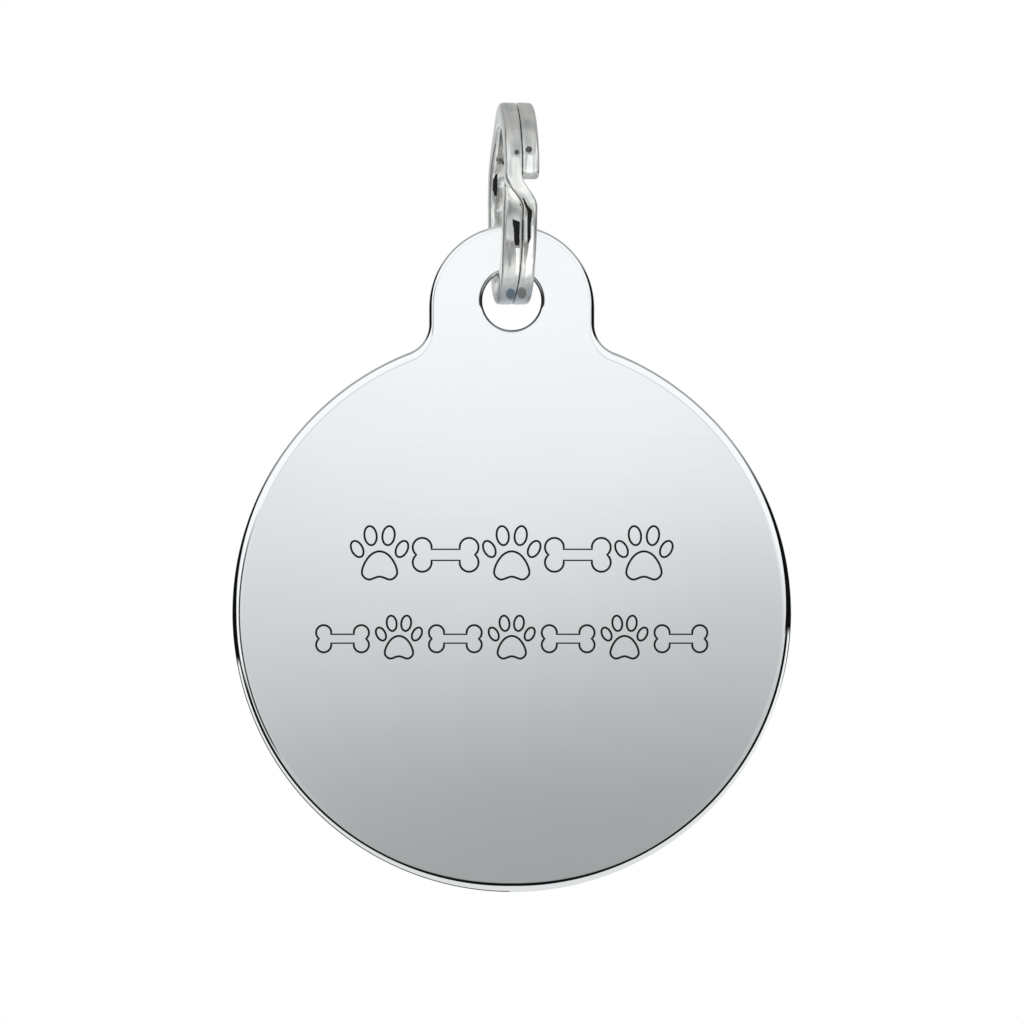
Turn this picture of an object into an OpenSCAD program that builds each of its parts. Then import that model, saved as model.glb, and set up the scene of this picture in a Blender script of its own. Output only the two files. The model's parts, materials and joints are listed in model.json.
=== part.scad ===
// Pet ID tag: a round stainless steel blank with an ear, hung on a two-turn split ring.
// Z points up and the tag hangs below the origin, which is the inside top of the ring, where a
// collar's eye bears. The tag lies in the XZ plane with its marked face towards -Y. The ring stands
// almost edge on to that face, and its wire passes through the ear's hole from front to back.

/* [Disc] */
// Diameter of the round disc
disc_d = 31.75; // [20:0.05:40]
// Thickness of the sheet that the tag is stamped from
sheet_t = 1.5; // [1.2:0.1:2]
// Radius of the polished edge, all round on both faces
edge_r = 0.45; // [0.2:0.01:0.5]

/* [Ear] */
// Width of the ear across its straight sides
ear_w = 9.4; // [8:0.1:12]
// Length of the ear's straight sides, between the neck's fillets and the round top
ear_side = 0.95; // [0.2:0.05:4]
// Radius of the two fillets between the ear and the disc
neck_r = 1.7; // [1:0.1:3]
// Diameter of the hole in the ear
hole_d = 3.4; // [3:0.05:4.2]
// Height of the hole's centre above the centre of the ear's round top
hole_lift = 0.4; // [0:0.05:0.8]
// Width of the bevel round the hole's mouths
hole_bevel = 0.17; // [0.05:0.01:0.3]

/* [Ring] */
// Outer diameter of the split ring
ring_d = 11.5; // [11:0.1:16]
// Depth of the ring's wire, across the ring's wall
wire_h = 1.3; // [0.9:0.05:1.5]
// Width of the ring's wire, along the ring's axis
wire_w = 0.93; // [0.7:0.01:1]
// Gap between the two turns of wire
turn_gap = 0.09; // [0.05:0.01:0.15]
// Radius of the wire's corners on the ring's two outer sides
shoulder_r = 0.33; // [0.1:0.01:0.4]
// Radius of the wire's corners beside the groove between the turns
groove_r = 0.14; // [0.05:0.01:0.2]
// Angle by which the ring is turned about the vertical, near side to the right
ring_turn = 4.7; // [0:0.1:8]

/* [Crank] */
// Angle above the front of the ring at which the wire leaves the left turn
crank_start = 15.2; // [5:0.1:30]
// Angle that the wire takes to cross from the left turn to the right one
crank_span = 20.6; // [15:0.1:30]
// Share of the crank's angle by which the wire's tapered end reaches up beside it
tip_share = 0.61; // [0.2:0.01:0.65]

/* [Fit] */
// Gap between the ring's wire and the wall of the hole that hangs on it
seat_gap = 0.3; // [0.15:0.01:0.4]

/* [Hidden] */
$fn = 96;

// Steps in a quarter of the plate's rounded edge, and in a quarter corner of the wire
edge_steps = 3;
corner_steps = 3;
// Steps along half the outline: a quarter of the ear's top, one fillet, and the disc's side
ear_steps = 12;
neck_steps = 7;
disc_steps = 48;
// Sections along the crank, and along the tapered end
crank_steps = 14;
tip_steps = 8;
// How far every cutter runs past what it cuts
overrun = 0.5;
// How much slimmer the wire is in the crank and the tapered end, on every side, and the angle by
// which both run on inside the turns that carry them
crank_relief = 0.01;
crank_lap = 2;

disc_r = disc_d / 2;
ear_r = ear_w / 2;
hole_r = hole_d / 2;
ring_r = ring_d / 2;
eye_r = ring_r - wire_h;
ring_half_w = wire_w + turn_gap / 2;
turn_pitch = wire_w + turn_gap;

// The fillet's centre stands a fillet radius off the ear's side and off the disc's rim.
neck_x = ear_r + neck_r;
neck_z = sqrt((disc_r + neck_r) ^ 2 - neck_x ^ 2);
neck_angle = atan2(neck_z, neck_x);
ear_rise = neck_z + ear_side;

// The hole hangs on the wire's two shoulders. The wire curves up inside the sheet's thickness and
// crosses it at the ring's angle, so what the wall must clear is a little higher and wider.
wire_lift = eye_r - sqrt(eye_r ^ 2 - (sheet_t / 2) ^ 2);
wire_reach = ring_half_w * cos(ring_turn) + sheet_t / 2 * sin(ring_turn) - shoulder_r;
seat_r = hole_r - seat_gap - shoulder_r;
hole_z = -2 * eye_r + wire_lift - shoulder_r - sqrt(seat_r ^ 2 - wire_reach ^ 2);
disc_z = hole_z - hole_lift - ear_rise;

echo(hole_z = hole_z, disc_z = disc_z, ear_top_z = disc_z + ear_rise + ear_r);
echo(ring_inner_radius = eye_r, least_gap_between_turns = turn_gap);

// Points on an arc about [x, y], from the angle from through the angle sweep, in equal steps.
function arc(x, y, r, from, sweep, steps) =
    [for (i = [0:steps]) let (a = from + sweep * i / steps) [x + r * cos(a), y + r * sin(a)]];

// The points of a list from the second one on.
function rest(points) = [for (i = [1:len(points) - 1]) points[i]];

// Triangles of the skin between rings of n points each, the rings lying one after another.
function skin(rings, n) = [for (i = [0:rings - 2], j = [0:n - 1])
    let (k = (j + 1) % n, a = i * n, b = i * n + n)
    each [[a + j, b + j, a + k], [a + k, b + j, b + k]]];

// The tag's outline from the ear's top down the right side to the foot of the disc, drawn in by
// inset. The disc's centre is the origin.
function half_outline(inset) = concat(
    arc(0, ear_rise, ear_r - inset, 90, -90, ear_steps),
    arc(neck_x, neck_z, neck_r + inset, 180, neck_angle, neck_steps),
    rest(arc(0, 0, disc_r - inset, neck_angle, -90 - neck_angle, disc_steps)));

// The whole outline: the right half, then the same points mirrored on the way back up.
function outline(inset) = let (half = half_outline(inset), last = len(half) - 1)
    concat(half, [for (i = [last - 1:-1:1]) [-half[i][0], half[i][1]]]);

// The plate's edge from the front face to the back one: [how far it is drawn in, height].
edge_path = let (front = [for (i = [0:edge_steps]) let (a = 90 * i / edge_steps)
        [edge_r * (1 - sin(a)), sheet_t / 2 - edge_r * (1 - cos(a))]])
    concat(front, [for (i = [edge_steps:-1:0]) [front[i][0], -front[i][1]]]);

// The plate with its edge rounded all round, as one skin through outlines drawn in step by step.
module plate() {
    points = [for (e = edge_path, p = outline(e[0])) [p[0], p[1], e[1]]];
    n = len(outline(0));
    half = n / 2;
    cap = concat([[0, 1, n - 1], [half, half + 1, half - 1]],
        [for (j = [1:half - 2]) each [[j, j + 1, n - j], [j + 1, n - j - 1, n - j]]]);
    back = (len(edge_path) - 1) * n;
    polyhedron(points, concat(skin(len(edge_path), n), cap,
        [for (t = cap) [back + t[0], back + t[2], back + t[1]]]));
}

// The hole with a bevel at each mouth.
module ear_hole() {
    cylinder(h = sheet_t + 2 * overrun, r = hole_r, center = true);
    for (face = [0, 1])
        mirror([0, 0, face]) translate([0, 0, sheet_t / 2 - hole_bevel])
            cylinder(h = hole_bevel + overrun, r1 = hole_r, r2 = hole_r + hole_bevel + overrun);
}

module tag_blank() {
    color("lightsteelblue")
        translate([0, 0, disc_z]) rotate([90, 0, 0])
            difference() {
                plate();
                translate([0, ear_rise + hole_lift, 0]) ear_hole();
            }
}

// The wire's section from the place lo to hi along the ring's axis, drawn in by relief, with a
// corner radius of its own on each side. Points are [radius, place along the axis].
function wire_section(lo, hi, relief, r_lo, r_hi) = concat(
    arc(ring_r - r_hi, hi - r_hi, r_hi - relief, 0, 90, corner_steps),
    arc(eye_r + r_hi, hi - r_hi, r_hi - relief, 90, 90, corner_steps),
    arc(eye_r + r_lo, lo + r_lo, r_lo - relief, 180, 90, corner_steps),
    arc(ring_r - r_lo, lo + r_lo, r_lo - relief, 270, 90, corner_steps));

// How far the crank has crossed, from 0 at its start to 1 at its end, as a smooth S.
function crossed(a) = (1 - cos(180 * min(max(a / crank_span, 0), 1))) / 2;

// The wire's section at the angle a below the crank's start, from the left turn to the right one.
function crank_section(a, relief = 0) = let (s = crossed(a), hi = ring_half_w - s * turn_pitch)
    wire_section(hi - wire_w, hi, relief,
        groove_r + s * (shoulder_r - groove_r), shoulder_r + s * (groove_r - shoulder_r));

// The tapered end's section: it keeps clear of the crank's edge by the gap between the turns.
function tip_section(a, relief) = let (
    lo = ring_half_w - crossed(a) * turn_pitch + turn_gap,
    half = (ring_half_w - lo) / 2)
    wire_section(lo, ring_half_w, relief, min(groove_r, half), min(shoulder_r, half));

// A closed skin through sections that are each turned about the ring's axis by their own angle.
module wire_loft(sections, angles) {
    n = len(sections[0]);
    last = len(sections) - 1;
    points = [for (i = [0:last], p = sections[i])
        [p[0] * cos(angles[i]), p[0] * sin(angles[i]), p[1]]];
    polyhedron(points, concat(skin(last + 1, n), [[for (j = [n - 1:-1:0]) j]],
        [[for (j = [0:n - 1]) last * n + j]]));
}

module turn_of_wire(section) {
    rotate_extrude(angle = 360 - crank_span) polygon(section);
}

// The crank: the wire crosses from the left turn's start to the right turn's start below it.
module crank() {
    steps = [for (i = [0:crank_steps]) -crank_lap + (crank_span + 2 * crank_lap) * i / crank_steps];
    wire_loft([for (a = steps) crank_section(a, crank_relief)], [for (a = steps) -a]);
}

// The tapered end of the left turn, cut on the slant so that it fills the space beside the crank.
module tapered_end() {
    reach = crank_span * tip_share + crank_lap;
    steps = [for (i = [0:tip_steps]) crank_span + crank_lap - reach * i / tip_steps];
    wire_loft([for (a = steps) tip_section(a, crank_relief)], [for (a = steps) -a]);
}

// Inside the ring's frame the axis is Z, towards the left of the tag, and angles run upwards from
// the front. Each turn runs from the crank's start over the top, down the back and round below.
module split_ring() {
    color("silver")
        translate([0, 0, -eye_r]) rotate([90, 0, ring_turn - 90]) rotate([0, 0, crank_start]) {
            turn_of_wire(crank_section(0));
            turn_of_wire(crank_section(crank_span));
            crank();
            tapered_end();
        }
}

tag_blank();
split_ring();
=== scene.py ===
import json
import math

import bmesh
import bpy
from mathutils import Matrix, Vector
from mathutils.bvhtree import BVHTree


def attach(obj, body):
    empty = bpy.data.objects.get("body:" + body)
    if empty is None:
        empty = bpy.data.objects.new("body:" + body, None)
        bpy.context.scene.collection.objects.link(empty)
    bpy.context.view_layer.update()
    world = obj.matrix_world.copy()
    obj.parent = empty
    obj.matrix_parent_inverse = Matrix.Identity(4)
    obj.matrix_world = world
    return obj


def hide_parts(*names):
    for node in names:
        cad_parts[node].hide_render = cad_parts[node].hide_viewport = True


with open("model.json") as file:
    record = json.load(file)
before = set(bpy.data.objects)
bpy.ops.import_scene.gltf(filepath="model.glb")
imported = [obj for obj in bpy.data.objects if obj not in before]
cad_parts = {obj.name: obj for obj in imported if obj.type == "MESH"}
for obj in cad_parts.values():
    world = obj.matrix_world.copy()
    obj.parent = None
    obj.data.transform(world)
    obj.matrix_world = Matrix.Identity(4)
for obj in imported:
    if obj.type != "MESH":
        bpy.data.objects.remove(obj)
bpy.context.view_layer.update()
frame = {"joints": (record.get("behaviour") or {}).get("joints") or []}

# --- Tag blank -------------------------------------------------------------------------------
# A round disc with an ear, stamped from one stainless steel sheet. Tumbling and polishing have
# rounded the edge, which starts with a soft roll-off from the flat face and then turns tightly.
mm = 0.001
disc_r = 15.873 * mm
sheet_t = 1.5 * mm
ear_r = 4.7 * mm
ear_side = 0.95 * mm
neck_r = 1.7 * mm
hole_r = 1.67 * mm
hole_lift = 0.4 * mm
hole_z = frame["joints"][0]["pos_m"][2]

# How far in the edge is rounded, the ear's share of that, and the roll-off's radius and angle.
edge_w, ear_share = 0.56 * mm, 0.5
soft_r, soft_angle = 1.6 * mm, math.radians(7)
hole_edge_w = 0.23 * mm
hole_soft_r, hole_soft_angle = 0.3 * mm, math.radians(4)
# A narrow flat margin stands between the edge and the face's fill, so that the edge shades well.
face_margin = 0.03 * mm
ear_steps, neck_steps, disc_steps, hole_steps = 56, 26, 200, 160
soft_steps, tight_steps, hole_tight_steps = 5, 18, 9

neck_x = ear_r + neck_r
neck_z = math.sqrt((disc_r + neck_r) ** 2 - neck_x ** 2)
neck_angle = math.atan2(neck_z, neck_x)
ear_rise = neck_z + ear_side
disc_z = hole_z - hole_lift - ear_rise


def arc(x, z, r, start, sweep, steps):
    """Points on an arc about x, z, both ends included."""
    angles = [start + sweep * i / steps for i in range(steps + 1)]
    return [(x + r * math.cos(a), z + r * math.sin(a)) for a in angles]


def tag_outline(inset):
    """The tag's outline once round from the ear's top, drawn in by inset, about the disc's centre.
    The ear's edge is polished less far in than the disc's, and changes over along the neck."""
    right = arc(0, ear_rise, ear_r - inset * ear_share, math.pi / 2, -math.pi / 2, ear_steps)
    for i in range(neck_steps + 1):
        t = i / neck_steps
        neck = neck_r + inset * (ear_share + (1 - ear_share) * t ** 2 * (3 - 2 * t))
        right.append(arc(neck_x, neck_z, neck, math.pi, neck_angle, neck_steps)[i])
    right += arc(0, 0, disc_r - inset, neck_angle, -math.pi / 2 - neck_angle, disc_steps)[1:]
    return right + [(-x, z) for x, z in right[-2:0:-1]]


def hole_outline(inset):
    """The hole's outline, widened by inset."""
    return arc(0, ear_rise + hole_lift, hole_r + inset, math.pi / 2, -math.tau, hole_steps)[:-1]


def edge_at(width, soft, turn, tilt):
    """How far the edge is drawn in, and how high it is, where it has that tilt."""
    tight = (width - soft * math.sin(turn)) / (1 - math.sin(turn))
    first, last = min(tilt, turn), max(tilt, turn)
    inset = width - soft * math.sin(first) - tight * (math.sin(last) - math.sin(turn))
    drop = soft * (1 - math.cos(first)) + tight * (math.cos(turn) - math.cos(last))
    return inset, sheet_t / 2 - drop


def edge_levels(width, soft, turn, steps):
    """[how far drawn in, height] from the front face's margin round the edge to the back one's."""
    tilts = [turn * i / soft_steps for i in range(soft_steps)]
    tilts += [turn + (math.pi / 2 - turn) * i / steps for i in range(steps + 1)]
    front = [(width + face_margin, sheet_t / 2)]
    front += [edge_at(width, soft, turn, tilt) for tilt in tilts]
    return front + [(inset, -height) for inset, height in reversed(front)]


def skin_edge(bm, outline, levels):
    """Skins the outline through its levels and gives back the front and back loops of edges."""
    loops = []
    for inset, height in levels:
        loops.append([bm.verts.new((x, -height, disc_z + z)) for x, z in outline(inset)])
    for one, two in zip(loops, loops[1:]):
        for i in range(len(one)):
            j = (i + 1) % len(one)
            bm.faces.new((one[i], one[j], two[j], two[i]))
    return [[bm.edges.get((loop[i - 1], loop[i])) for i in range(len(loop))]
            for loop in (loops[0], loops[-1])]


def placed(name, data):
    """A new object with that data, in the scene."""
    made = bpy.data.objects.new(name, data)
    bpy.context.scene.collection.objects.link(made)
    return made


bm = bmesh.new()
rim_loops = skin_edge(bm, tag_outline, edge_levels(edge_w, soft_r, soft_angle, tight_steps))
hole_loops = skin_edge(bm, hole_outline,
                       edge_levels(hole_edge_w, hole_soft_r, hole_soft_angle, hole_tight_steps))
for rim, hole in zip(rim_loops, hole_loops):
    bmesh.ops.triangle_fill(bm, edges=rim + hole, use_beauty=True)
bmesh.ops.recalc_face_normals(bm, faces=bm.faces)
tag_mesh = bpy.data.meshes.new("tag_blank_steel")
bm.to_mesh(tag_mesh)
bm.free()
tag_plate = placed("tag_plate", tag_mesh)


def new_material(name):
    """An empty node material, with its tree and its Principled shader."""
    material = bpy.data.materials.new(name)
    material.use_nodes = True
    return material, material.node_tree, material.node_tree.nodes["Principled BSDF"]


def add_node(tree, kind, settings=None, **inputs):
    """A node with its settings and its inputs, each a number, a vector or another node's socket."""
    node = tree.nodes.new(kind)
    for name, value in (settings or {}).items():
        setattr(node, name, value)
    for name, value in inputs.items():
        slot = node.inputs[name.replace("_", " ")]
        if isinstance(value, bpy.types.NodeSocket):
            tree.links.new(value, slot)
        else:
            slot.default_value = value
    return node


class Term:
    """A number in a node tree. Sums and products of terms add the nodes that work them out."""

    def __init__(self, tree, socket):
        self.tree, self.socket = tree, socket

    def reckon(self, operation, *others):
        node = self.tree.nodes.new("ShaderNodeMath")
        node.operation = operation
        for slot, value in zip(node.inputs, (self, *others)):
            if isinstance(value, Term):
                self.tree.links.new(value.socket, slot)
            else:
                slot.default_value = value
        return Term(self.tree, node.outputs[0])

    def __add__(self, other): return self.reckon("ADD", other)
    def __sub__(self, other): return self.reckon("SUBTRACT", other)
    def __rsub__(self, other): return self * -1.0 + other
    def __neg__(self): return self * -1.0
    def __mul__(self, other): return self.reckon("MULTIPLY", other)
    def __truediv__(self, other): return self.reckon("DIVIDE", other)
    def power(self, other): return self.reckon("POWER", other)
    def sine(self): return self.reckon("SINE")
    def cosine(self): return self.reckon("COSINE")
    def size(self): return self.reckon("ABSOLUTE")
    def sign(self): return self.reckon("SIGN")
    def least(self, other): return self.reckon("MINIMUM", other)
    def most(self, other): return self.reckon("MAXIMUM", other)
    def clamp(self, low=0.0, high=1.0): return self.most(low).least(high)
    def above(self, other): return self.reckon("GREATER_THAN", other)
    def below(self, other): return self.reckon("LESS_THAN", other)
    def towards(self, goal, share): return self + (goal - self) * share

    def step(self, low, high):
        """0 at low and 1 at high, with a smooth rise between them. High may be the lesser."""
        t = ((self - low) / (high - low)).clamp()
        return t * t * (t * -2.0 + 3.0)


def parts_of(tree, vector):
    """The x, y and z of a vector's socket, as terms."""
    apart = add_node(tree, "ShaderNodeSeparateXYZ", Vector=vector)
    return [Term(tree, socket) for socket in apart.outputs]


def object_place(tree):
    """The x, y and z of the shaded point in the object's own frame, as terms."""
    return parts_of(tree, tree.nodes.new("ShaderNodeTexCoord").outputs["Object"])


def steel(name, bright, dark, streaks, rough, bump, waves, place="Object"):
    """Polished metal of a bright and a dark tone, each with its roughness. Its streaks are noise
    drawn out along the way that it was rubbed, and bump is their strength and height. Waves are
    the scale, the height and the share of its slight unevenness."""
    material, tree, shader = new_material(name)
    shader.inputs["Metallic"].default_value = 1.0
    spot = tree.nodes.new("ShaderNodeTexCoord")
    fine = add_node(tree, "ShaderNodeMapping", Vector=spot.outputs[place], Scale=streaks)
    lines = add_node(tree, "ShaderNodeTexNoise", Vector=fine.outputs[0], Scale=1.0, Detail=3.0)
    uneven = add_node(tree, "ShaderNodeTexNoise", Vector=spot.outputs["Object"], Scale=waves[0],
                      Detail=2.0)
    both = add_node(tree, "ShaderNodeMix", {"data_type": "FLOAT"}, Factor=waves[2])
    tree.links.new(lines.outputs["Fac"], both.inputs[2])
    tree.links.new(uneven.outputs["Fac"], both.inputs[3])
    # The two tones lie where the noise has nearly all its values.
    dark_end, bright_end = 0.38, 0.6
    tint = add_node(tree, "ShaderNodeValToRGB", Fac=both.outputs[0])
    tint.color_ramp.elements[0].position, tint.color_ramp.elements[0].color = dark_end, (*dark, 1)
    tint.color_ramp.elements[1].position = bright_end
    tint.color_ramp.elements[1].color = (*bright, 1)
    tree.links.new(tint.outputs[0], shader.inputs["Base Color"])
    matt = add_node(tree, "ShaderNodeMapRange", Value=both.outputs[0], From_Min=dark_end,
                    From_Max=bright_end, To_Min=rough[1], To_Max=rough[0])
    tree.links.new(matt.outputs[0], shader.inputs["Roughness"])
    scored = add_node(tree, "ShaderNodeBump", Height=lines.outputs["Fac"], Strength=bump[0],
                      Distance=bump[1])
    wavy = add_node(tree, "ShaderNodeBump", Height=uneven.outputs["Fac"], Strength=1.0,
                    Distance=waves[1], Normal=scored.outputs[0])
    tree.links.new(wavy.outputs[0], shader.inputs["Normal"])
    return material, tree, shader


def overlay(tree, slot, goal, share):
    """Draws what feeds a shader's input towards the goal, a value or a socket, by the share."""
    kind, here, out = ("RGBA", 6, 2) if slot.type == "RGBA" else ("FLOAT", 2, 0)
    mix = add_node(tree, "ShaderNodeMix", {"data_type": kind}, Factor=share.socket)
    tree.links.new(slot.links[0].from_socket, mix.inputs[here])
    if isinstance(goal, bpy.types.NodeSocket):
        tree.links.new(goal, mix.inputs[here + 1])
    else:
        mix.inputs[here + 1].default_value = goal
    tree.links.new(mix.outputs[out], slot)


tag_steel, steel_tree, steel_shader = steel(
    "tag_polished_steel", (0.958, 0.965, 0.976), (0.952, 0.959, 0.97), streaks=(60, 2500, 7000),
    rough=(0.065, 0.08), bump=(0.001, 0.00001), waves=(150, 0.0000005, 0.5))
# The hole's edge was punched and only deburred. A ring of painted shade darkens its colour, more at
# the sides, and in the upper part a bright line, left out of the shade, divides it in two.
x, _, z = object_place(steel_tree)
z = z - hole_z
from_hole = (x * x + z * z).power(0.5)
across_edge = (from_hole - hole_r) / hole_edge_w
height = z / from_hole
unshaded_line = across_edge.step(0.16, 0.26) * across_edge.step(0.66, 0.54) * height.step(0.1, 0.5)
hole_shade_reach = height.step(-0.3, -0.1) * 0.4 + 0.55
hole_painted_shade = (hole_shade_reach - across_edge).step(0.0, 0.2) * (1.0 - unshaded_line)
hole_shade_tone = ((x / from_hole).size().step(0.5, 0.98) * -0.54 + 0.6).socket
hole_shade_colour = add_node(steel_tree, "ShaderNodeCombineXYZ", X=hole_shade_tone, Y=hole_shade_tone, Z=hole_shade_tone)
# Draws the steel's base colour towards the painted shade's tone.
overlay(steel_tree, steel_shader.inputs["Base Color"], hole_shade_colour.outputs[0], hole_painted_shade)
tag_plate.data.materials.append(tag_steel)

# --- Marking ---------------------------------------------------------------------------------
# Two rows of paw prints and bones, each drawn as a thin engraved outline. A graver has cut them
# into the front face, and the cut's faces are coloured near black and are rough.
line_w = 0.165 * mm
line_depth = 0.06 * mm
# A bone is measured in shares of its length. A paw is measured in shares of its height: half of its
# pad's outline, and for each toe its place, its half width and height, and its lean in degrees.
bone_lobe_r, bone_lobe_x, bone_lobe_z, bone_shaft = 0.145, 0.36, 0.115, 0.085
paw_pad = [(0.0, 0.06), (0.15, 0.0), (0.265, -0.16), (0.30, -0.33), (0.19, -0.425), (0.0, -0.375)]
paw_toes = [(0.155, 0.33, 0.105, 0.165, -8), (0.385, 0.10, 0.095, 0.15, -28)]
bone_length_share = 1.12
lobe_steps, pad_steps, toe_steps = 20, 6, 28


def smooth_loop(points, steps):
    """A closed smooth line through the points."""
    line, n = [], len(points)
    for i in range(n):
        a, b, c, d = (Vector(points[(i + k - 1) % n]) for k in range(4))
        for k in range(steps):
            t = k / steps
            line.append(0.5 * (2 * b + (c - a) * t + (2 * a - 5 * b + 4 * c - d) * t ** 2
                               + (3 * b - a - 3 * c + d) * t ** 3))
    return line


def bone_lines():
    """A bone one unit long: four round lobes joined by a straight shaft."""
    out = math.asin((bone_lobe_z - bone_shaft) / bone_lobe_r)
    notch = math.asin(bone_lobe_z / bone_lobe_r)
    lobe = arc(bone_lobe_x, bone_lobe_z, bone_lobe_r, math.pi + out, -math.pi - out - notch,
               lobe_steps)
    right = lobe + [(x, -z) for x, z in lobe[-2::-1]]
    return [[Vector(p) for p in right + [(-x, -z) for x, z in right]]]


def paw_lines():
    """A paw print one unit high: a pad and four toes."""
    lines = [smooth_loop(paw_pad + [(-x, z) for x, z in paw_pad[-2:0:-1]], pad_steps)]
    for x, z, half_w, half_h, lean in paw_toes:
        for side in (1, -1):
            turn, centre = Matrix.Rotation(math.radians(lean * side), 2), Vector((x * side, z))
            lines.append([turn @ Vector((half_w * math.cos(a), half_h * math.sin(a))) + centre
                          for a in (math.tau * i / toe_steps for i in range(toe_steps))])
    return lines


def outline_object(name, lines):
    """Closed lines in the XY plane as one curve object."""
    curve = bpy.data.curves.new(name, "CURVE")
    curve.dimensions = "3D"
    for line in lines:
        spline = curve.splines.new("POLY")
        spline.points.add(len(line) - 1)
        spline.points.foreach_set("co", [c for p in line for c in (p[0], p[1], 0, 1)])
        spline.use_cyclic_u = True
    return placed(name, curve)


def new_tree(name, inputs):
    """A geometry tree with named inputs. Each input is its socket type and its value."""
    tree = bpy.data.node_groups.new(name, "GeometryNodeTree")
    tree.interface.new_socket("Geometry", in_out="INPUT", socket_type="NodeSocketGeometry")
    for label, (kind, _) in inputs.items():
        tree.interface.new_socket(label, in_out="INPUT", socket_type="NodeSocket" + kind)
    tree.interface.new_socket("Geometry", in_out="OUTPUT", socket_type="NodeSocketGeometry")
    return tree, tree.nodes.new("NodeGroupInput"), tree.nodes.new("NodeGroupOutput")


def baked(made, tree, inputs, name):
    """Runs the tree on the object and gives its result back as a plain mesh object."""
    modifier = made.modifiers.new(tree.name, "NODES")
    modifier.node_group = tree
    for item in tree.interface.items_tree:
        if item.in_out == "INPUT" and item.name in inputs:
            modifier[item.identifier] = inputs[item.name][1]
    made.update_tag()
    bpy.context.view_layer.update()
    graph = bpy.context.evaluated_depsgraph_get()
    mesh = bpy.data.meshes.new_from_object(made.evaluated_get(graph), depsgraph=graph)
    made.modifiers.remove(modifier)
    bpy.data.objects.remove(made)
    mesh.name = name
    return placed(name, mesh)


line_dark, line_tree, line_shader = new_material("engraved_line_dark")
line_shader.inputs["Metallic"].default_value = 0.6
line_shader.inputs["Roughness"].default_value = 0.6
grain = add_node(line_tree, "ShaderNodeTexNoise", Scale=24000.0, Detail=2.0,
                 Vector=line_tree.nodes.new("ShaderNodeTexCoord").outputs["Object"])
cut_tint = add_node(line_tree, "ShaderNodeValToRGB", Fac=grain.outputs["Fac"])
cut_tint.color_ramp.elements[0].color = (0.004, 0.004, 0.005, 1)
cut_tint.color_ramp.elements[1].color = (0.022, 0.022, 0.024, 1)
line_tree.links.new(cut_tint.outputs[0], line_shader.inputs["Base Color"])

paw = outline_object("paw_outline", paw_lines())
bone = outline_object("bone_outline", bone_lines())
marks = {
    "Paw": ("Object", paw), "Bone": ("Object", bone),
    "Upper count": ("Int", 5), "Upper spacing": ("Float", 3.75 * mm),
    "Upper height": ("Float", 3.3 * mm), "Upper place": ("Float", disc_z + 3.28 * mm),
    "Lower count": ("Int", 7), "Lower spacing": ("Float", 3.2 * mm),
    "Lower height": ("Float", 2.65 * mm), "Lower place": ("Float", disc_z - 1.48 * mm),
    "Line width": ("Float", line_w), "Line depth": ("Float", line_depth),
    "Face": ("Float", -sheet_t / 2), "Dark line": ("Material", line_dark),
}
tree, given, result = new_tree("engrave_marks", marks)
tools = tree.nodes.new("GeometryNodeJoinGeometry")
for row in ("Upper", "Lower"):
    count, spacing = (Term(tree, given.outputs[row + " " + word]) for word in ("count", "spacing"))
    row_start = add_node(tree, "ShaderNodeCombineXYZ", X=((count - 1) * spacing * -0.5).socket,
                         Y=given.outputs["Face"], Z=given.outputs[row + " place"])
    row_step = add_node(tree, "ShaderNodeCombineXYZ", X=spacing.socket)
    places = add_node(tree, "GeometryNodeMeshLine", Count=count.socket,
                      Start_Location=row_start.outputs[0], Offset=row_step.outputs[0])
    index = Term(tree, tree.nodes.new("GeometryNodeInputIndex").outputs[0])
    odd = index.reckon("MODULO", 2.0).above(0.5)
    # Paws and bones take turns. The upper row starts with a paw and the lower one with a bone.
    for mark, starts, scale in (("Paw", row == "Upper", 1.0),
                                ("Bone", row == "Lower", bone_length_share)):
        drawn = add_node(tree, "GeometryNodeObjectInfo", Object=given.outputs[mark])
        chosen = odd.below(0.5) if starts else odd
        mark_size = Term(tree, given.outputs[row + " height"]) * scale
        put = add_node(tree, "GeometryNodeInstanceOnPoints", Points=places.outputs[0],
                       Selection=chosen.socket, Instance=drawn.outputs["Geometry"],
                       Rotation=(math.pi / 2, 0, 0), Scale=mark_size.socket)
        tree.links.new(put.outputs[0], tools.inputs[0])
loose = add_node(tree, "GeometryNodeRealizeInstances", Geometry=tools.outputs[0])
upright = add_node(tree, "GeometryNodeSetCurveNormal", {"mode": "FREE"}, Curve=loose.outputs[0],
                   Normal=(0, -1, 0))
cut = add_node(tree, "GeometryNodeCurvePrimitiveQuadrilateral", Width=given.outputs["Line width"],
               Height=(Term(tree, given.outputs["Line depth"]) * 2.0).socket)
grooves = add_node(tree, "GeometryNodeCurveToMesh", Curve=upright.outputs[0],
                   Profile_Curve=cut.outputs[0])
cut_faces = add_node(tree, "GeometryNodeStoreNamedAttribute",
                     {"data_type": "BOOLEAN", "domain": "FACE"}, Geometry=grooves.outputs[0],
                     Name="engraved", Value=True)
carve = add_node(tree, "GeometryNodeMeshBoolean", {"operation": "DIFFERENCE", "solver": "EXACT"})
tree.links.new(given.outputs["Geometry"], carve.inputs[0])
tree.links.new(cut_faces.outputs[0], carve.inputs[1])
whole = add_node(tree, "GeometryNodeRealizeInstances", Geometry=carve.outputs[0])
engraved = add_node(tree, "GeometryNodeInputNamedAttribute", {"data_type": "BOOLEAN"},
                    Name="engraved")
darkened = add_node(tree, "GeometryNodeSetMaterial", Geometry=whole.outputs[0],
                    Selection=engraved.outputs["Attribute"], Material=given.outputs["Dark line"])
tree.links.new(darkened.outputs[0], result.inputs[0])
tag = baked(tag_plate, tree, marks, "tag_blank_steel")
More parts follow.
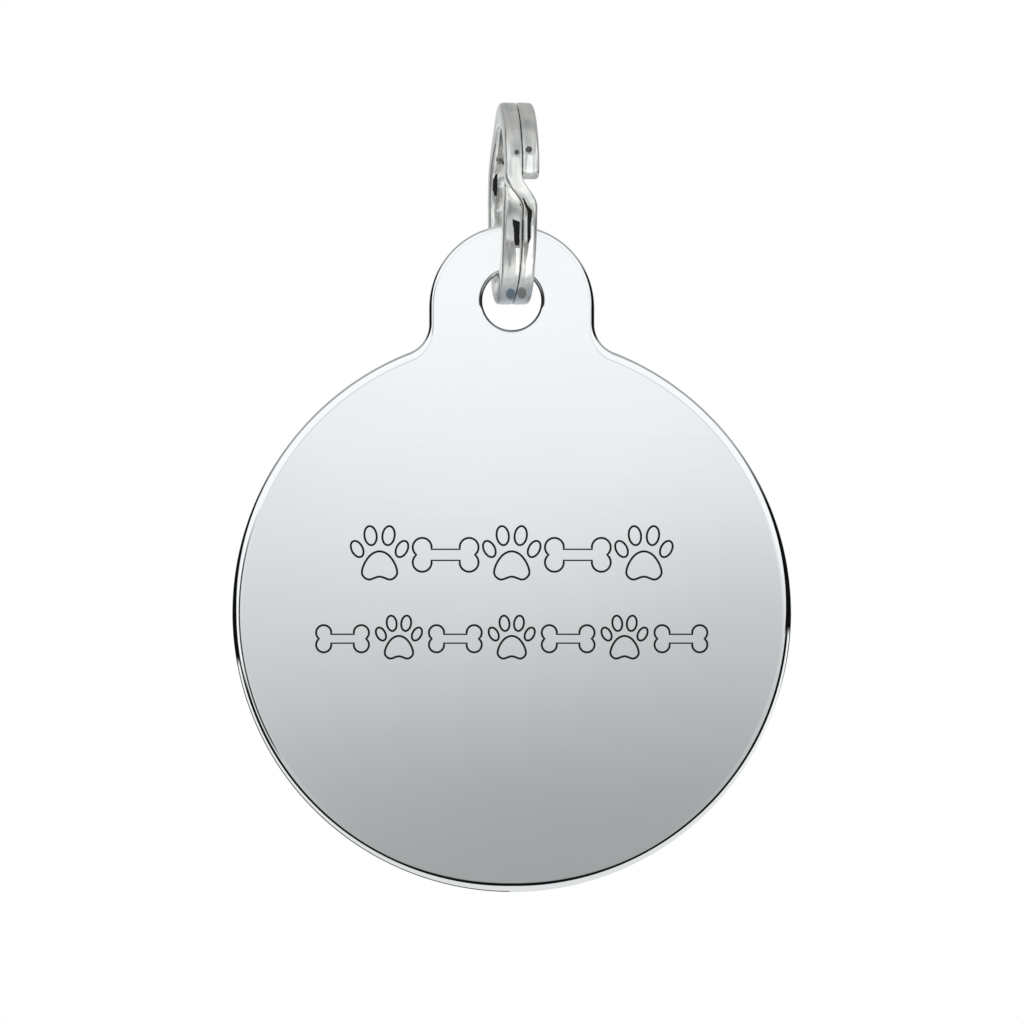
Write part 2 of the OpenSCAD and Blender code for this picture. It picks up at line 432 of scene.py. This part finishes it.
for outline in (paw, bone):
    bpy.data.objects.remove(outline)
tag.data.set_sharp_from_angle(angle=math.radians(30))
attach(tag, "tag")
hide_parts("tag_blank")

# --- Split ring ------------------------------------------------------------------------------
# One length of rolled steel wire, bright plated, coiled twice. A crank carries it from one turn to
# the other. Its upper end is cut square and its lower end on the slant, to fit beside the crank.
wire = {
    "Outer radius": ("Float", 5.742 * mm), "Wire depth": ("Float", 1.298 * mm),
    "Wire width": ("Float", 0.969 * mm), "Turn gap": ("Float", 0.012 * mm),
    "Crank start": ("Float", math.radians(15.2)), "Crank span": ("Float", math.radians(20.6)),
    "Tip share": ("Float", 0.61), "Ring turn": ("Float", math.radians(4.7)),
    "Shoulder bend": ("Float", 0.46), "Groove bend": ("Float", 0.2),
    "Sway": ("Float", 0.16 * mm), "Seam shift": ("Float", 0.14 * mm),
    "Rows along": ("Int", 900), "Points round": ("Int", 49),
}
tree, given, result = new_tree("coil_split_ring", wire)
(outer, depth, width, gap, start, span, tip_share, ring_turn, shoulder, groove, sway, seam_shift,
 rows, round_points) = (Term(tree, given.outputs[label]) for label in wire)
grid = add_node(tree, "GeometryNodeMeshGrid", Size_X=1.0, Size_Y=1.0, Vertices_X=rows.socket,
                Vertices_Y=round_points.socket)
along, around, _ = parts_of(tree, tree.nodes.new("GeometryNodeInputPosition").outputs[0])
along, around = along + 0.5, around + 0.5
# Both ends are closed: the last row is one point, and the one before it is drawn in a little.
cut_share = 0.94
one_row = (rows - 1.0).power(-1.0)
from_end = along.least(1.0 - along) / one_row
closing = from_end.clamp() * cut_share + (from_end - 1.0).clamp() * (1.0 - cut_share)
# The way along the wire, as an angle: the right turn, the crank, the left turn and the slant tip.
full_turn = math.tau - span
tip_start = full_turn * 2.0 + span
travelled = ((along - one_row) / (1.0 - one_row * 2.0)).clamp() * (tip_start + span * tip_share)
in_crank = ((travelled - full_turn) / span).clamp()
on_right = (in_crank * math.pi).cosine() * 0.5 + 0.5
in_tip = ((travelled - tip_start) / span).clamp()
tip_rise = (in_tip * math.pi).cosine() * 0.5 + 0.5
angle = start + travelled
half_ring = width + gap * 0.5
pitch = width + gap
# In the near lower quarter the left turn has been pressed over the edge of the right one.
pressed = angle.cosine().step(0.2, 0.9) * angle.sine().step(0.2, -0.1) * seam_shift
high = half_ring - on_right * (pitch + pressed)
low = half_ring - on_right * pitch - width - (1.0 - on_right) * pressed
tip_low = half_ring - tip_rise * (pitch + pressed) + gap
low = low.towards(tip_low, (travelled - tip_start).above(0.0))
# The section is a box with rounded corners, softer on the shoulders than beside the groove.
near_zero = 0.0001
across, up = (value.sign() * (value.size() - near_zero).most(0.0)
              for value in ((around * math.tau).cosine(), (around * math.tau).sine()))
bend_high = shoulder.towards(groove, on_right)
bend_low = groove.towards(shoulder, on_right)
bend = bend_low.towards(bend_high, up.above(0.0))
radial = outer - depth * 0.5 + closing * depth * 0.5 * across.sign() * across.size().power(bend)
axial = (high + low) * 0.5 + closing * (high - low) * 0.5 * up.sign() * up.size().power(bend)
# The coil isn't quite flat: its upper part leans to the right, most of all in front.
drift = (angle.sine() + angle.cosine() * 0.25).step(0.05, 0.7) * sway + sway * 0.2
coil = add_node(tree, "ShaderNodeCombineXYZ", X=(radial * angle.cosine()).socket,
                Y=(radial * angle.sine()).socket, Z=(axial - drift).socket)
# The UV map has the wire laid out straight, in millimetres along it and in turns round it.
mean_r_mm = 5.1
unrolled = add_node(tree, "ShaderNodeCombineXYZ", X=(travelled * mean_r_mm).socket,
                    Y=around.socket)
corner_uv = add_node(tree, "GeometryNodeStoreNamedAttribute",
                     {"data_type": "FLOAT2", "domain": "CORNER"}, Geometry=grid.outputs[0],
                     Name="wire_run", Value=unrolled.outputs[0])
bent = add_node(tree, "GeometryNodeSetPosition", Geometry=corner_uv.outputs[0],
                Position=coil.outputs[0])
closed = add_node(tree, "GeometryNodeMergeByDistance", Geometry=bent.outputs[0], Distance=1e-6)
turned = add_node(tree, "ShaderNodeCombineXYZ", X=math.pi / 2, Z=(ring_turn - math.pi / 2).socket)
lowered = add_node(tree, "ShaderNodeCombineXYZ", Z=(depth - outer).socket)
hung = add_node(tree, "GeometryNodeTransform", Geometry=closed.outputs[0],
                Translation=lowered.outputs[0], Rotation=turned.outputs[0])

ring_steel, steel_tree, steel_shader = steel(
    "ring_plated_steel", (0.97, 0.955, 0.905), (0.66, 0.68, 0.675), streaks=(0.35, 22, 1),
    rough=(0.03, 0.12), bump=(0.12, 0.00003), waves=(850, 0.000022, 0.5), place="UV")
# The tag rubs on the lowest part of the ring, so the plating there is dull. Its slight blue tint
# there is a painted reflection, and so are two dark blue-grey patches, each where an ellipsoid
# meets the wire.
ring_place = object_place(steel_tree)
wear_and_painted_tint = ring_place[2].step(-9.1 * mm, -9.75 * mm)
overlay(steel_tree, steel_shader.inputs["Roughness"], 0.42, wear_and_painted_tint)
overlay(steel_tree, steel_shader.inputs["Base Color"], (0.8, 0.83, 0.87, 1), wear_and_painted_tint)
reflection_half = (0.27, 2.2, 0.33)
painted_reflections = [((-0.06, -2.5, -9.67), (0.26, 0.33, 0.4)), ((0.57, -2.5, -9.6), (0.35, 0.36, 0.35))]
# Each patch is a painted reflection in the base colour.
for reflection_middle, colour in painted_reflections:
    x, y, z = ((value - middle * mm) / (half * mm)
               for value, middle, half in zip(ring_place, reflection_middle, reflection_half))
    reflection_share = (x * x + y * y + z * z).power(0.5).step(1.15, 0.8)
    overlay(steel_tree, steel_shader.inputs["Base Color"], (*colour, 1), reflection_share)
whole = add_node(tree, "GeometryNodeRealizeInstances", Geometry=hung.outputs[0])
plated = add_node(tree, "GeometryNodeSetMaterial", Geometry=whole.outputs[0], Material=ring_steel)
tree.links.new(plated.outputs[0], result.inputs[0])
ring_blank = placed("ring_blank", bpy.data.meshes.new("ring_blank"))
ring = baked(ring_blank, tree, wire, "split_ring_steel")
bm = bmesh.new()
bm.from_mesh(ring.data)
bmesh.ops.recalc_face_normals(bm, faces=bm.faces)
bm.to_mesh(ring.data)
bm.free()
ring.data.materials.clear()
ring.data.materials.append(ring_steel)
ring.data.polygons.foreach_set("material_index", [0] * len(ring.data.polygons))
ring.data.shade_smooth()
ring.data.set_sharp_from_angle(angle=math.radians(38))
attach(ring, "ring")
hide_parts("split_ring")

# --- Studio ----------------------------------------------------------------------------------
# A pale round floor well below the tag and white light from all round. Bright steel shows only
# what stands round it, so a graduated curtain, a narrow strip along the tag's edge and small cards
# by the ring give it its tones. The camera sees these three in the steel alone.
view_z = disc_z + 5.71 * mm
camera_off = 0.40
eye = Vector((0, -camera_off - sheet_t / 2, view_z))
floor_z, floor_r, floor_steps = -0.13, 0.30, 128
# The floor's tone in its painted shadow under the tag, its tone further out, and that shadow's
# radius.
floor_shade_tone, floor_pale, floor_shade_r = 0.62, 0.8, 0.04
curtain_r = 1.1
in_degrees = math.degrees(1)


def unseen(made):
    """Leaves the piece to reflections only."""
    made.visible_camera = made.visible_shadow = made.visible_diffuse = False


def bare_material(name, mesh):
    """A material without its Principled shader, put on the mesh. Gives back its tree."""
    material, tree, shader = new_material(name)
    tree.nodes.remove(shader)
    mesh.materials.append(material)
    return tree


def glowing(tree, tone, shader_output):
    """A light of that tone, very slightly blue."""
    colour = add_node(tree, "ShaderNodeCombineXYZ", X=(tone * 0.968).socket,
                      Y=(tone * 0.996).socket, Z=tone.socket)
    glow = tree.nodes.new("ShaderNodeEmission")
    tree.links.new(colour.outputs[0], glow.inputs[0])
    tree.links.new(glow.outputs[0], shader_output)


def straight_on(tree, tone, share, ends):
    """Shows the tone to what looks straight at it, and is clear to all else. It changes over
    between the ends, which are values of the Layer Weight's Facing: 0 is straight on."""
    facing = Term(tree, add_node(tree, "ShaderNodeLayerWeight", Blend=0.5).outputs["Facing"])
    mixed = add_node(tree, "ShaderNodeMixShader", Fac=(facing.step(*ends) * share).socket)
    tree.links.new(tree.nodes.new("ShaderNodeBsdfTransparent").outputs[0], mixed.inputs[1])
    glowing(tree, tone, mixed.inputs[2])
    tree.links.new(mixed.outputs[0], tree.nodes["Material Output"].inputs[0])


def unseen_sheet(name, verts, faces, attribute, kind, values):
    """A smooth unseen sheet, whose points carry the values as an attribute. Gives back its
    material's tree and the node that reads the attribute."""
    mesh = bpy.data.meshes.new(name)
    mesh.from_pydata(verts, [], faces)
    carried = mesh.attributes.new(attribute, kind, "POINT")
    carried.data.foreach_set("value" if kind == "FLOAT" else "vector", values)
    mesh.shade_smooth()
    unseen(placed(name, mesh))
    tree = bare_material(name + "_tones", mesh)
    return tree, add_node(tree, "ShaderNodeAttribute", {"attribute_name": attribute})


# The curtain is a wide shell. A point's place on it is its off, the angle from straight in front
# in degrees, its fall, from -1 overhead through 0 at the side to 1 underneath, and its climb, the
# angle above the horizon in degrees.
shell_mesh = bpy.data.meshes.new("studio_curtain")
bm = bmesh.new()
bmesh.ops.create_icosphere(bm, subdivisions=4, radius=curtain_r)
bmesh.ops.reverse_faces(bm, faces=bm.faces)
bm.to_mesh(shell_mesh)
bm.free()
unseen(placed("studio_curtain", shell_mesh))
tree = bare_material("studio_curtain_tones", shell_mesh)
x, y, z = object_place(tree)
z = z - view_z
spread = (x * x + z * z).power(0.5)
off = spread.reckon("ARCTAN2", -y) * in_degrees
fall = -(z / spread)
climb = z.reckon("ARCTAN2", (x * x + y * y).power(0.5)) * in_degrees


def front_tones(off, fall, aside):
    """The sweep behind the camera, which the flat face shows, and the white above it. Its upper
    part is a little darker to both sides, and its lower part to the right. Aside is the angle to
    the right in degrees."""
    sweep = -(fall * off.least(3.6))
    sweep = (sweep - aside * aside * sweep.step(-1.9, -0.7) * 0.08
             - aside * sweep.step(0.3, -1.0) * 0.12)
    tone = (sweep.step(-3.9, 1.1) * 0.56 + 0.36).towards(1.0, sweep.step(0.8, 2.4))
    above = fall.step(-0.02, -0.3) * off.below(90.0)
    tone = tone.towards(0.74, above * off.step(4.0, 5.0))
    tone = tone.towards(1.0, above * off.step(9.0, 11.0))
    return tone.towards(0.78, above * fall.step(-0.92, -0.96) * off.step(24.0, 34.0))


face_reach = 2.4
tone = front_tones(off, fall, (x / y.size() * in_degrees).clamp(-face_reach, face_reach))
# All round the curtain hangs in soft slanting folds and grows darker downwards, so that the faces
# have a shade of their own from every side. Underneath it is lighter, with a dark band in front
# that fades downwards.
heading = (x.size() / y.size()).reckon("ARCTANGENT") * in_degrees
heading = heading.towards(180.0 - heading, y.above(0.0))
folds = ((climb + heading * 0.5 - 5.0) * math.radians(12.0)).sine() * 0.18
side_tone = climb.step(-50.0, 25.0) * 0.4 + folds + 0.44
side_tone = side_tone.towards(0.8, fall.step(0.78, 0.92).most(climb.step(-50.0, -62.0)))
side_tone = side_tone.towards(off.step(46.0, 84.0) * 0.5 + 0.3,
                              fall.step(0.78, 0.9) * off.step(40.0, 50.0) * off.step(92.0, 80.0))
all_round = fall.step(-0.32, -0.1) * off.step(12.0, 20.0)
tone = tone.towards(side_tone, all_round.most(off.step(84.0, 98.0)))
# The ceiling and what hangs behind are greyer, and so is the wall level with the tag.
tone = tone.towards(0.6, climb.step(52.0, 58.0))
tone = tone.towards(0.45, fall.step(-0.3, -0.5) * off.step(84.0, 98.0) * off.step(170.0, 160.0))
level_wall = off.step(60.0, 84.0) * off.step(160.0, 140.0) * fall.size().step(0.5, 0.2)
tone = tone.towards(tone * 0.5, level_wall)
# Narrow dark posts on both sides, before and behind, draw the edges of whatever turns to them.
fore_post = off.step(64.0, 67.0) * off.step(76.0, 73.0)
back_post = off.step(104.0, 107.0) * off.step(120.0, 117.0)
tone = tone.towards(0.02, (fore_post + back_post) * fall.size().step(0.75, 0.6))
# Straight behind it has a sweep of its own.
back_sweep = -(fall * (180.0 - off).least(4.0))
tone = tone.towards(back_sweep.step(-4.2, 3.8) * 0.5 + 0.42, off.step(168.0, 174.0))
glowing(tree, tone, tree.nodes["Material Output"].inputs[0])

# A narrow strip follows the tag's edge close by and gives it its black loop. Each point of it
# stands where the edge shows it to the camera, and it shows only straight on, so the faces don't
# mirror it. It carries three numbers: its off, corrected by a lean for the place on the tag, its
# fall, and 1 on the right or 0 on the left.
strip_d = 0.9 * mm
strip_offs = range(4, 157, 2)
edge_aside = 2.3
sample = 0.1 * mm
verts, bearings = [], []
for (side_x, side_z), (in_x, in_z) in zip(tag_outline(0.0), tag_outline(sample)):
    away = Vector((side_x - in_x, side_z - in_z))
    share = away.length / sample
    away.normalize()
    lean = math.degrees(Vector((side_x, disc_z + side_z - view_z)).dot(away) / curtain_r)
    for degrees in strip_offs:
        turn = math.radians(degrees)
        tilt = math.atan(math.tan(turn / 2) * share)
        inset, height = edge_at(edge_w, soft_r, soft_angle, tilt)
        reach = strip_d * math.sin(turn) - share * inset
        verts.append((side_x + away.x * reach, -height - strip_d * math.cos(turn),
                      disc_z + side_z + away.y * reach))
        bearings += [degrees + lean * math.cos(turn), -away.y, 1.0 if side_x > 0 else 0.0]
columns = len(strip_offs)
strip_rows = len(verts) // columns
faces = []
for i in range(strip_rows):
    here, after = i * columns, (i + 1) % strip_rows * columns
    faces += [(here + k, here + k + 1, after + k + 1, after + k) for k in range(columns - 1)]
tree, bearing = unseen_sheet("edge_strip", verts, faces, "bearing", "FLOAT_VECTOR", bearings)
off, fall, right = parts_of(tree, bearing.outputs["Vector"])
left = 1.0 - right
climb = (-((off * math.radians(1)).sine() * fall)).reckon("ARCSINE") * in_degrees

sideways = (1.0 - fall * fall).most(0.0).power(0.5)
tone = front_tones(off, fall, (right * 2.0 - 1.0) * sideways * edge_aside)
# Light from below and from the sides, beyond the dark loop.
under = fall.step(-0.1, 0.1)
from_foot = (1.0 - fall).most(0.0)
near_edge = (from_foot.power(0.65) * 44.0 + 6.0).least(33.0)
far_edge = (from_foot.power(0.5) * 74.0 + 20.0).least(74.0)
light_under = fall.step(0.2, 0.9) * -0.17 + 0.95
tone = tone.towards(light_under, under * off.above(near_edge) * off.below(150.0))
# Overhead it is greyer, and behind too, which draws a grey line round the upper silhouette.
tone = tone.towards(0.62, climb.step(60.0, 72.0))
tone = tone.towards(fall.step(-0.93, -0.97) * 0.18 + 0.38,
                    fall.step(0.0, -0.1) * off.step(84.0, 98.0) * off.step(160.0, 145.0))
# Round the lower silhouette the line is dark, all along on the left, but only near the level of
# the disc's middle on the right.
tone = tone.towards(0.04, fall.step(-0.1, 0.05) * off.step(112.0, 120.0) * off.step(160.0, 150.0)
                    * left.most(fall.step(0.4, 0.1)))
# The dark loop: it hangs low in front and rises to both sides.
loop = under * (off - near_edge).step(-2.4, 0.7) * (off - far_edge).step(1.0, -1.0)
tone = tone.towards(0.004, loop)
# Dark screens at both sides, which taper off upwards.
rising = off + fall * 110.0
right_screen = right * fall.step(0.09, 0.05) * rising.step(27.0, 31.0)
left_screen = left * fall.step(0.2, 0.16) * rising.step(45.0, 50.0)
dark = (right_screen + left_screen) * off.step(150.0, 140.0)
tone = tone.towards(fall.step(-0.38, -0.66) * 0.4 + 0.004, dark * fall.step(-0.75, -0.6))
# On the left a narrow dark line also stands between the screen and the sweep.
left_side = left * fall.step(-0.45, -0.15)
tone = tone.towards(1.0, left_side * off.step(17.0, 21.0) * off.step(50.0, 44.0)
                    * fall.step(0.3, 0.15))
tone = tone.towards(0.04, left_side * off.step(8.0, 10.0) * off.step(18.0, 15.0)
                    * fall.step(0.56, 0.46))
# The strip starts at this off. It leaves the tones nearer to the middle to the curtain.
strip_start = ((1.0 - fall.step(0.1, 0.35)) * (left * -3.5 + 7.4)
               + fall.step(-0.35, -0.55) * 38.0 + 4.6)
straight_on(tree, tone, (off - strip_start).step(0.0, 1.0),
            (off * 0.0004 + 0.016, off * 0.0002 + 0.008))

# Small black and white cards close to the ring draw the marks on its wire, in the same way. Each
# mark has its tone and its rows from the top down: a height and the mark's two ends there, in
# millimetres from the ring's middle as the camera sees it. A card stands where the wire shows it
# to the camera.
ring_z = -4.45 * mm
ring_marks = [
    (0.02, [(-0.92, 0.03, 0.10), (-1.07, 0.04, 0.46), (-1.64, 0.11, 0.46), (-2.15, 0.14, 0.46),
            (-2.42, 0.22, 0.40)]),
    (0.02, [(0.28, 0.60, 0.66), (0.12, 0.67, 0.77), (-0.17, 0.76, 0.91), (-0.37, 0.83, 1.12),
            (-0.48, 0.86, 1.20), (-0.79, 0.87, 1.17), (-1.19, 0.87, 1.09), (-1.98, 0.87, 1.08),
            (-2.32, 0.88, 0.93)]),
    (0.02, [(1.67, -0.92, -0.81), (1.28, -1.07, -0.81), (0.84, -1.09, -0.81),
            (0.41, -1.02, -0.84)]),
    (1.2, [(-1.3, 1.17, 1.24), (-1.93, 1.15, 1.24), (-2.3, 0.98, 1.24), (-3.3, 0.83, 1.2),
           (-4.2, 0.74, 1.08)]),
    (1.15, [(-2.55, 0.24, 0.46), (-3.3, 0.26, 0.44), (-4.1, 0.24, 0.4)]),
    (0.45, [(-2.2, -0.2, -0.12), (-2.6, -0.24, -0.02), (-3.6, -0.2, -0.06)]),
    (1.3, [(2.72, 0.9, 1.17), (2.2, 0.84, 1.2), (1.5, 0.8, 1.2)]),
    (0.95, [(2.62, 0.06, 0.42), (2.2, 0.02, 0.5), (1.6, 0.02, 0.52), (0.9, 0.3, 0.66)])]
# Two more marks are round dots, each with its tone, its middle and its radius.
dots = [(0.1, 0.30, 2.89, 0.15), (0.01, 0.95, 3.04, 0.19)]
dot_rows = 8
for mark_tone, dot_x, dot_z, r in dots:
    dot_angles = [math.pi * (i + 0.5) / dot_rows for i in range(dot_rows)]
    ring_marks.append((mark_tone, [(dot_z + r * math.cos(a), dot_x - r * math.sin(a),
                                    dot_x + r * math.sin(a)) for a in dot_angles]))
ring_card_off = 0.5 * mm
card_steps = 6
bpy.context.view_layer.update()
ring_skin = BVHTree.FromObject(ring, bpy.context.evaluated_depsgraph_get())
verts, faces, tones = [], [], []
for mark_tone, mark_rows in ring_marks:
    first = len(verts)
    for (z, left, right), (next_z, next_left, next_right) in zip(mark_rows, mark_rows[1:]):
        for i in range(card_steps + (mark_rows[-1][0] == next_z)):
            t = i / card_steps
            for side in (left + (next_left - left) * t, right + (next_right - right) * t):
                seen = Vector((side * mm, -sheet_t / 2, ring_z + (z + (next_z - z) * t) * mm))
                ray = (seen - eye).normalized()
                met, normal, _, _ = ring_skin.ray_cast(eye, ray)
                verts.append(met + ray.reflect(normal) * ring_card_off)
                tones.append(mark_tone)
    faces += [(i, i + 1, i + 3, i + 2) for i in range(first, len(verts) - 2, 2)]
tree, carried_tone = unseen_sheet("ring_cards", verts, faces, "tone", "FLOAT", tones)
straight_on(tree, Term(tree, carried_tone.outputs["Fac"]), 1.0, (0.3, 0.2))

# The floor is matt, and the steel doesn't mirror it. It is a little darker under the tag: a painted
# shadow.
floor_mesh = bpy.data.meshes.new("floor")
floor_rim = arc(0, 0, floor_r, 0, math.tau, floor_steps)[:-1]
floor_mesh.from_pydata([(x, y, floor_z) for x, y in floor_rim], [], [list(range(floor_steps))])
floor = placed("floor", floor_mesh)
floor.visible_glossy = False
tree = bare_material("floor_pale", floor_mesh)
x, y, _ = object_place(tree)
# The painted shadow under the tag gives way to the pale floor further out.
pale = (x * x + y * y).power(0.5).step(floor_shade_r, floor_r * 0.97)
tone = pale * (floor_pale - floor_shade_tone) + floor_shade_tone
matt = add_node(tree, "ShaderNodeBsdfDiffuse", Color=tone.socket)
tree.links.new(matt.outputs[0], tree.nodes["Material Output"].inputs[0])

world = bpy.data.worlds.new("studio_white")
bpy.context.scene.world = world
world.use_nodes = True
world.node_tree.nodes["Background"].inputs[0].default_value = (1, 1, 1, 1)
world.node_tree.nodes["Background"].inputs[1].default_value = 1.0

sun = bpy.data.lights.new("key_light", "SUN")
sun.energy, sun.angle = 0.907, math.radians(25)
placed("key_light", sun).rotation_euler = (math.radians(28), math.radians(-12), 0)

# --- Camera ----------------------------------------------------------------------------------
# A long lens, straight in front of the tag and level with the middle of the picture. How wide the
# picture is at the tag's face follows from the size of the disc in the photograph.
picture_px, px_per_mm = 1024, 17.626
picture_w = picture_px / px_per_mm * mm
camera_shift = 0.015 * mm
camera_data = bpy.data.cameras.new("camera")
camera_data.sensor_width = 36
camera_data.lens = camera_data.sensor_width * camera_off / picture_w
camera_data.clip_start, camera_data.clip_end = 0.01, 10
camera = placed("camera", camera_data)
camera.location = eye + Vector((camera_shift, 0, 0))
camera.rotation_euler = (math.pi / 2, 0, 0)
bpy.context.scene.camera = camera
bpy.context.scene.view_settings.view_transform = "Standard"
